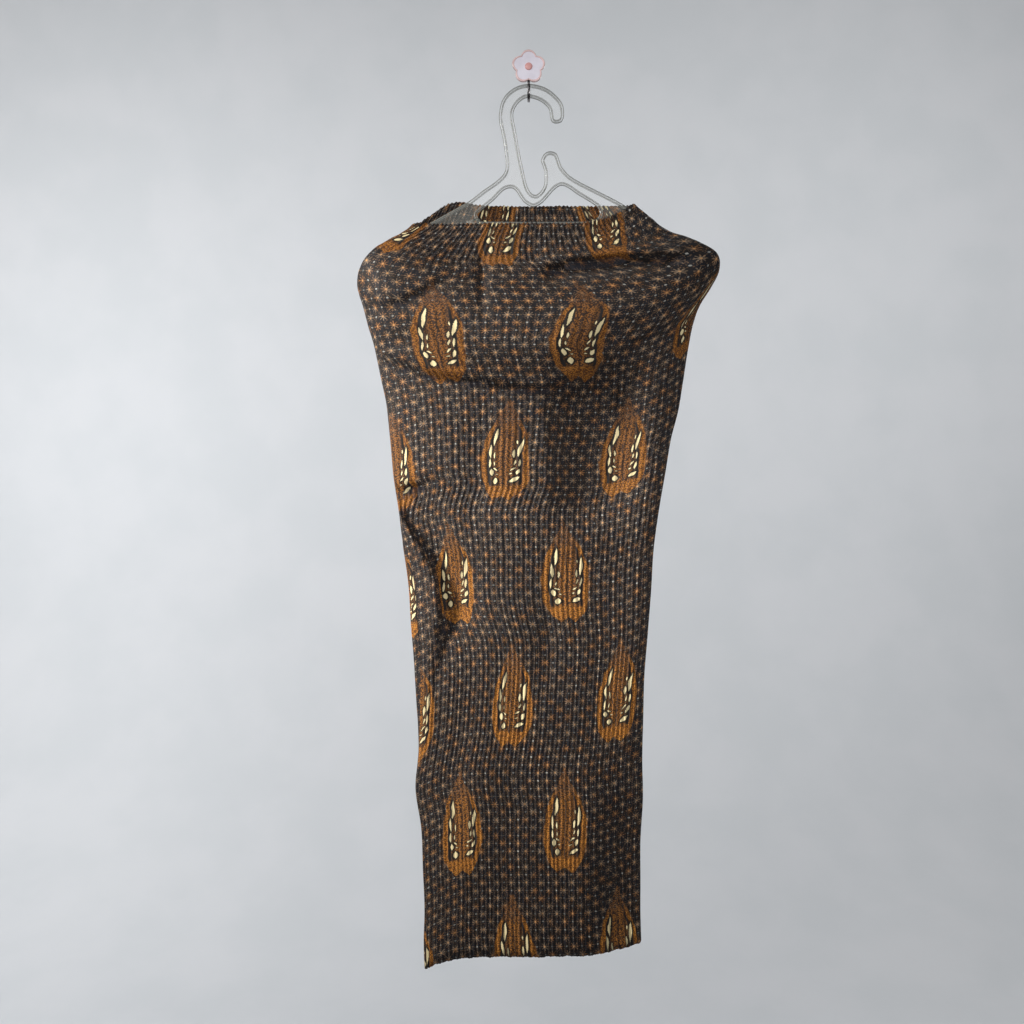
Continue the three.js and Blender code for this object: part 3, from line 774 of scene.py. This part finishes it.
def run_mesh(name, outlines, extrude, bevel, segments, offset, filled):
    """The mesh of closed runs in the XZ plane: filled, or a round bead along each."""
    curve = bpy.data.curves.new(name, "CURVE")
    curve.dimensions, curve.fill_mode = "2D", "BOTH" if filled else "NONE"
    curve.extrude = extrude / 1000
    curve.bevel_depth, curve.bevel_resolution, curve.offset = bevel / 1000, segments, offset / 1000
    for run in outlines:
        line = curve.splines.new("POLY")
        line.points.add(len(run) - 1)
        for point, (x, z) in zip(line.points, run):
            point.co = (x / 1000, z / 1000, 0, 1)
        line.use_cyclic_u = True
    made = bpy.data.objects.new(name + "_run", curve)
    bpy.context.scene.collection.objects.link(made)
    bpy.context.view_layer.update()
    mesh = bpy.data.meshes.new_from_object(made.evaluated_get(bpy.context.evaluated_depsgraph_get()))
    bpy.data.objects.remove(made)
    co = np.zeros(len(mesh.vertices) * 3, np.float32)
    mesh.vertices.foreach_get("co", co)
    co = co.reshape(-1, 3).astype(float) * 1000
    return (np.stack([co[:, 0], -co[:, 2], co[:, 1]], 1), [tuple(f.vertices) for f in mesh.polygons])


def moulded_plate(name, outlines, thick, edge, middle, rib=None):
    """A flat plate with round edges in the XZ plane, middle at y = middle. rib: how far inside
    each edge a bead runs on both faces, and its radius."""
    verts, faces = run_mesh(name, outlines, extrude=thick / 2 - edge, bevel=edge, segments=4,
                            offset=-edge, filled=True)
    if rib:
        inset, radius = rib
        bead, bead_faces = run_mesh(name + "_rib", outlines, extrude=0, bevel=radius, segments=2,
                                    offset=-inset, filled=False)
        for side in (-1, 1):
            start = len(verts)
            verts = np.concatenate([verts, bead + [0, side * thick / 2, 0]])
            faces = faces + [tuple(v + start for v in f) for f in bead_faces]
    verts[:, 1] += middle
    obj = add_mesh(name, verts, faces)
    obj.modifiers.new("weld", "WELD").merge_threshold = 0.00002
    obj.data.polygons.foreach_set("use_smooth", [abs(f.normal.y) < 0.99 for f in obj.data.polygons])
    obj.data.update()
    return obj


def petals_run(radius, swing, count=5, steps=120):
    """Outline of the flower plate: its radius swings to either side of its mean."""
    a = 2 * np.pi * np.arange(steps) / steps
    r = radius + swing * (np.abs(np.cos(count * a / 2)) * 2 - 1)
    return np.stack([r * np.sin(a), r * np.cos(a)], 1)


def tube_faces(rows, n):
    """Faces round a closed tube of rows of n points, and its two ends."""
    faces = [(j * n + q, j * n + (q + 1) % n, (j + 1) * n + (q + 1) % n, (j + 1) * n + q)
             for j in range(rows - 1) for q in range(n)]
    return faces + [tuple(range(n - 1, -1, -1)), tuple((rows - 1) * n + q for q in range(n))]


STRIP_PATH = [             # y, z
    (-2.6, -15), (-2.6, -26), (-2.6, -35), (-3.4, -40), (-5.6, -43.6), (-9, -45.4), (-13, -45.9),
    (-17.5, -45.6), (-21, -43.8), (-23.2, -40.5), (-24, -36), (-24, -29.5)]
STRIP_WIDE, STRIP_THICK = 1.6, 0.8   # halves of its section
STRIP_TIP = 0.55           # its ends are this much of its section


def strip_hook():
    """A flat steel strip, down from the plate, out under the hanger and up again."""
    path = np.array(STRIP_PATH)
    t = np.linspace(0, len(path) - 1, 60)
    y = spline(t, np.arange(len(path)), path[:, 0])
    z = spline(t, np.arange(len(path)), path[:, 1])
    tangent = np.stack([np.gradient(y), np.gradient(z)], 1)
    tangent /= np.linalg.norm(tangent, axis=1)[:, None]
    section = []
    for q in range(16):
        c, s = math.cos(2 * math.pi * q / 16), math.sin(2 * math.pi * q / 16)
        section.append((STRIP_WIDE * np.sign(c) * abs(c) ** 0.5, STRIP_THICK * np.sign(s) * abs(s) ** 0.6))
    verts = []
    for i in range(len(t)):
        size = STRIP_TIP if i in (0, len(t) - 1) else 1.0
        verts += [(a * size, y[i] - b * size * tangent[i, 1], z[i] + b * size * tangent[i, 0])
                  for a, b in section]
    return add_mesh("wall_hook_strip", verts, tube_faces(len(t), len(section)))


def dome(name, radius, height, base, around=40, rings=10, rim=0.35):
    """A round button on the plate's face, with an upright rim and a domed top."""
    turns = [0.5 * math.pi * q / rings for q in range(1, rings)]
    profile = [(radius, 0.0), (radius, rim)] + [
        (radius * math.cos(turn) ** 0.8, rim + (height - rim) * math.sin(turn)) for turn in turns]
    verts = [(r * math.cos(2 * math.pi * k / around), base - h, r * math.sin(2 * math.pi * k / around))
             for r, h in profile for k in range(around)]
    return add_mesh(name, verts, tube_faces(len(profile), around))


# ---- the pieces ----
outside = batik("batik_face")
# the panels' inside: the print darkened, partly its duller wrong side, partly painted shade
wrong_side_and_shade = batik("batik_wrong_side", faded_and_shaded_by=0.55)

skirt_front = panel("front_panel_cloth", front=True, rows=180, inner_every=3)
skirt_back = panel("back_panel_cloth", front=False, rows=150, inner_every=3)
for piece in (skirt_front, skirt_back):
    piece.data.materials.append(outside)
    piece.data.materials.append(wrong_side_and_shade)
casing = waistband()
casing.data.materials.append(outside)
for piece, node in ((skirt_front, "front_panel"), (skirt_back, "back_panel"), (casing, "waistband")):
    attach(piece, "root")
    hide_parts(node)

hanger = moulded_plate("clear_hanger", [rounded(HANGER_OUTLINE), rounded(HANGER_WINDOW)],
                       thick=4, edge=1.6, middle=HANG_Y, rib=(3.2, 0.7))
hanger.data.materials.append(plastic("clear_plastic", (0.86, 0.86, 0.8), roughness=0.12, mottle=0.01,
                                     ripple=0.06, clear=(0.05, 0.8)))
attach(hanger, "root")
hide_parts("hanger")

border = moulded_plate("hook_flower_border", [petals_run(18.6, 2.3), petals_run(16.2, 2.0)],
                       thick=4.6, edge=1.1, middle=-2.7)
border.data.materials.append(plastic("pink_rim_plastic", rgb("ecccca"), roughness=0.22))
face = moulded_plate("hook_flower_face", [petals_run(16.6, 2.0)], thick=4.2, edge=0.8, middle=-2.2)
face.data.materials.append(plastic("lilac_white_plastic", rgb("ebe6f1"), roughness=0.3))
for piece in (border, face):
    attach(piece, "root")
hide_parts("hook_plate")
button = dome("hook_flower_centre", radius=4.6, height=2.1, base=-4.3)
button.data.materials.append(plastic("pink_plastic", rgb("dda39f"), roughness=0.3))
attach(button, "root")
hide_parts("flower_centre")
hook = strip_hook()
hook.data.materials.append(chrome("dark_steel"))
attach(hook, "root")
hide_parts("hook_wire")

# ---- stage ----


def sweep():
    """Floor that rises in one wide curve into the backdrop."""
    floor_z, top_z, near_y, back_y, bend, half = -2300.0, 4200.0, -4000.0, 4200.0, 1800.0, 7000.0
    line = [(near_y, floor_z)]
    line += [(back_y - bend + bend * math.sin(a), floor_z + bend - bend * math.cos(a))
             for a in np.linspace(0, math.pi / 2, 24)]
    line.append((back_y, top_z))
    verts = [(x, y, z) for y, z in line for x in (-half, half)]
    faces = [(2 * i, 2 * i + 1, 2 * i + 3, 2 * i + 2) for i in range(len(line) - 1)]
    obj = add_mesh("floor_and_backdrop", verts, faces)
    look, s, shader = new_look("pale_floor")
    fine = s.noise(s.node("ShaderNodeTexCoord").outputs["Object"], 3.0, 3.0)
    s.link(s.mix(s.step(fine, 0.3, 0.7), rgb("d3d6d9"), rgb("d8dadd")), shader.inputs["Base Color"])
    shader.inputs["Roughness"].default_value = 0.9
    obj.data.materials.append(look)


def area_light(name, place, aim, size, power, colour=(1, 1, 1), spread=180):
    """A round lamp, size in metres across, power in watts, spread in degrees."""
    data = bpy.data.lights.new(name, "AREA")
    data.shape, data.size, data.energy, data.color = "DISK", size, power, colour
    data.spread = math.radians(spread)
    obj = bpy.data.objects.new(name, data)
    obj.location = place
    obj.visible_camera = False
    obj.rotation_mode = "QUATERNION"
    obj.rotation_quaternion = (Vector(aim) - Vector(place)).to_track_quat("-Z", "Y")
    bpy.context.scene.collection.objects.link(obj)


sweep()
area_light("key", (-1.05, -0.5, 0.02), (0.0, 0.0, -0.7), size=0.35, power=4.5,
           colour=(1.0, 0.96, 0.9), spread=60)
area_light("front_fill", (0.42, -1.58, -0.42), (0.05, 0.0, -0.58), size=0.6, power=1.95,
           colour=(0.98, 0.98, 0.99), spread=60)
area_light("hook_fill", (-0.5, -0.9, 0.2), (0.0, 0.0, -0.05), size=0.2, power=0.15, spread=30)
area_light("back_fill", (0.9, 1.5, 0.6), (0.0, 0.0, -0.5), size=1.2, power=8.0)
area_light("backdrop_left", (-2.6, 0.9, 0.15), (-1.9, 4.2, 0.15), size=2.6, power=108.0)
area_light("backdrop_right", (2.1, 0.9, 0.75), (1.4, 4.2, 0.6), size=2.6, power=64.0)
world = bpy.data.worlds.new("studio")
world.use_nodes = True
world.node_tree.nodes["Background"].inputs[0].default_value = (0.95, 0.97, 1.0, 1)
world.node_tree.nodes["Background"].inputs[1].default_value = 0.12
bpy.context.scene.world = world
bpy.context.scene.view_settings.view_transform = "Standard"

FAR, WIDE = 1300.0, 1249.28          # mm: at this distance the picture is this wide
SENSOR = 36.0
camera_data = bpy.data.cameras.new("camera")
camera_data.sensor_width, camera_data.lens = SENSOR, SENSOR * FAR / WIDE
camera = bpy.data.objects.new("camera", camera_data)
camera.location = (-0.0205, -1.317, -0.549)      # level, before the middle of the skirt
camera.rotation_euler = (math.pi / 2, 0, 0)
bpy.context.scene.collection.objects.link(camera)
bpy.context.scene.camera = camera
